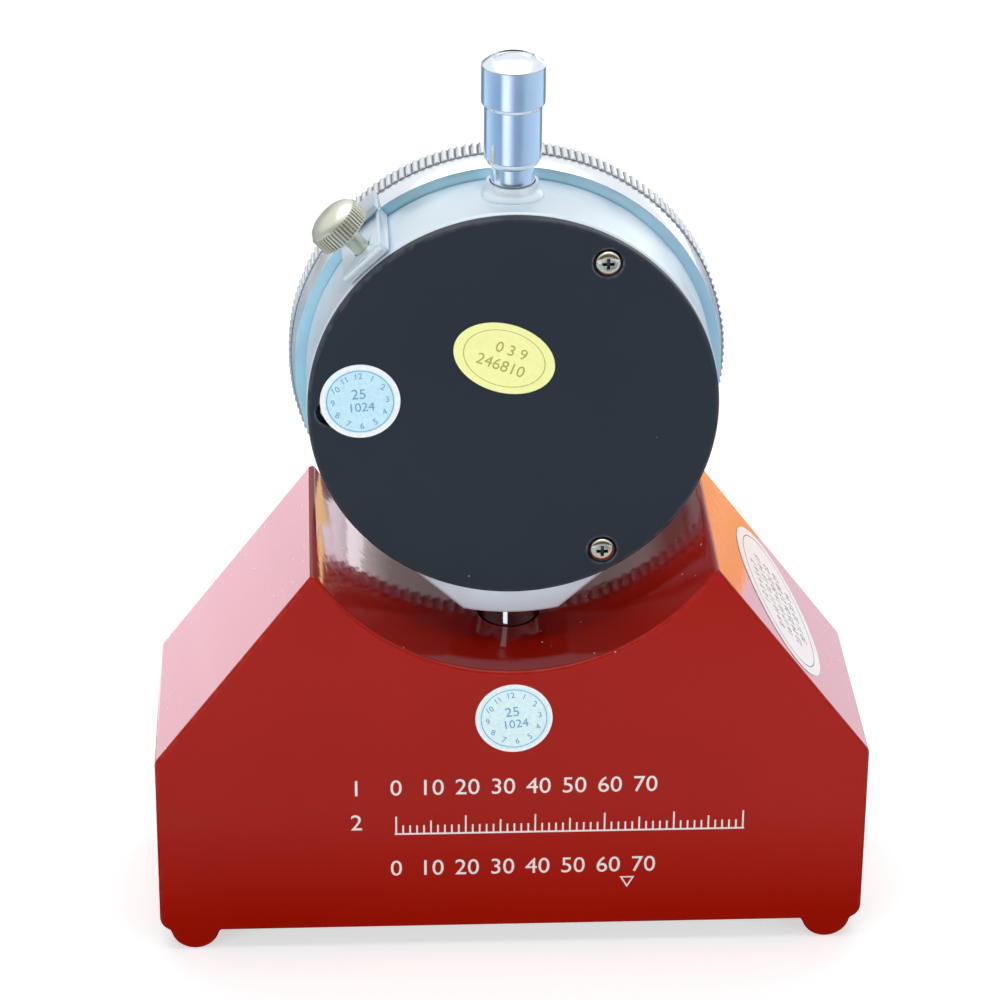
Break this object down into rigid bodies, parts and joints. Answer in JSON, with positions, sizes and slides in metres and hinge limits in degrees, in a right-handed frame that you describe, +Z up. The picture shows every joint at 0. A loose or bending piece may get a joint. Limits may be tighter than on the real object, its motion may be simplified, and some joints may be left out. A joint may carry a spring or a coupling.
{
  "type": "screen tension meter",
  "caption": "Red cast saddle base on two rounded feet with a dial gauge standing in it back to front and a sprung measuring bar beneath.",
  "frame": {"origin": "on the surface the feet stand on, midway between the feet and midway through the casting", "axes": "+Z up along the spindle, +X right seen from the gauge's back, +Y from the gauge's back towards its dial"},
  "size_m": [0.095, 0.033, 0.1215],
  "materials": {
    "painted_casting": "glossy red baked enamel over a casting",
    "satin_case": "satin silver plating with a blue cast",
    "knurled_satin": "satin plated rim with a fine straight knurl",
    "bright_chrome": "bright chrome plating, turned",
    "nickelled_steel": "nickel plated steel, slightly warm",
    "blackened_cover": "satin slate-black moulded cover",
    "machined_steel": "ground steel",
    "spring_steel": "oiled spring wire",
    "brass_works": "brushed brass",
    "dial_enamel": "white enamelled sheet with printed ticks and plain numbers",
    "black_hands": "blackened thin sheet",
    "black_ring": "matt black spacer",
    "clear_crystal": "clear flat crystal",
    "printed_label": "thin printed foil label with plain numbers or none"
  },
  "bodies": {
    "base": {"base_block": "painted_casting", "stem_clamp_screw": "machined_steel", "plunger_bush": "brass_works", "spring_washer": "machined_steel", "measuring_spring": "spring_steel", "stem": "bright_chrome", "return_spring": "spring_steel", "gauge_case": "satin_case", "back_cover": "blackened_cover", "upper_bush": "bright_chrome", "main_plate": "brass_works", "movement_bridge": "brass_works", "hairspring": "spring_steel", "hairspring_stud": "brass_works", "rack_guide": "brass_works", "spring_post": "machined_steel", "inner_dial": "dial_enamel", "bezel_snap_ring": "spring_steel", "lock_bracket": "satin_case", "cover_screw_1": "nickelled_steel", "cover_screw_2": "nickelled_steel", "cover_screw_3": "nickelled_steel", "movement_pillar_1": "brass_works", "movement_pillar_2": "brass_works", "movement_pillar_3": "brass_works"},
    "slider": {"measuring_bar": "machined_steel", "bar_screw": "machined_steel", "plunger_rod": "machined_steel", "contact_tip": "machined_steel", "gauge_spindle": "bright_chrome", "spindle_guide_pin": "machined_steel", "lift_cap": "bright_chrome"},
    "rack_arbor": {"rack_pinion": "machined_steel", "drive_gear": "brass_works"},
    "pointer_arbor": {"centre_pinion": "machined_steel", "pointer": "black_hands"},
    "take_up_arbor": {"take_up_gear": "brass_works", "counter_hand": "black_hands"},
    "bezel_set": {"bezel": "knurled_satin", "crystal": "clear_crystal", "crystal_ring": "black_ring", "dial_ring": "dial_enamel"},
    "lock_screw": {"lock_thumbscrew": "nickelled_steel"}
  },
  "joints": [
    {"name": "plunger_slide", "type": "slide", "parent": "base", "child": "slider", "axis": [0, 0, 1], "range_m": [-0.0024, 0.0005], "stiffness_N_per_m": 600, "springref_m": -0.0045, "deforming": ["measuring_spring", "return_spring"]},
    {"name": "rack_pinion_spin", "type": "hinge", "parent": "base", "child": "rack_arbor", "pos_m": [0.00309, 0, 0.0658], "axis": [0, 1, 0], "range_deg": [-90, 20]},
    {"name": "pointer_spin", "type": "hinge", "parent": "base", "child": "pointer_arbor", "pos_m": [0, 0, 0.0763], "axis": [0, 1, 0], "range_deg": [-185, 870]},
    {"name": "counter_spin", "type": "hinge", "parent": "base", "child": "take_up_arbor", "pos_m": [0.01094, 0, 0.0763], "axis": [0, 1, 0], "range_deg": [-90, 20]},
    {"name": "bezel_turn", "type": "hinge", "parent": "base", "child": "bezel_set", "pos_m": [0, 0.01, 0.0763], "axis": [0, 1, 0], "continuous": true},
    {"name": "lock_screw_turn", "type": "hinge", "parent": "base", "child": "lock_screw", "pos_m": [-0.02065, -0.0027, 0.09806], "axis": [-0.6884, 0, 0.7254], "range_deg": [0, 180]}
  ],
  "couplings": [
    {"joint": "rack_pinion_spin", "follows": "plunger_slide", "rad_per_m": 628.32},
    {"joint": "pointer_spin", "follows": "plunger_slide", "rad_per_m": -6283.2},
    {"joint": "counter_spin", "follows": "plunger_slide", "rad_per_m": 628.32}
  ]
}
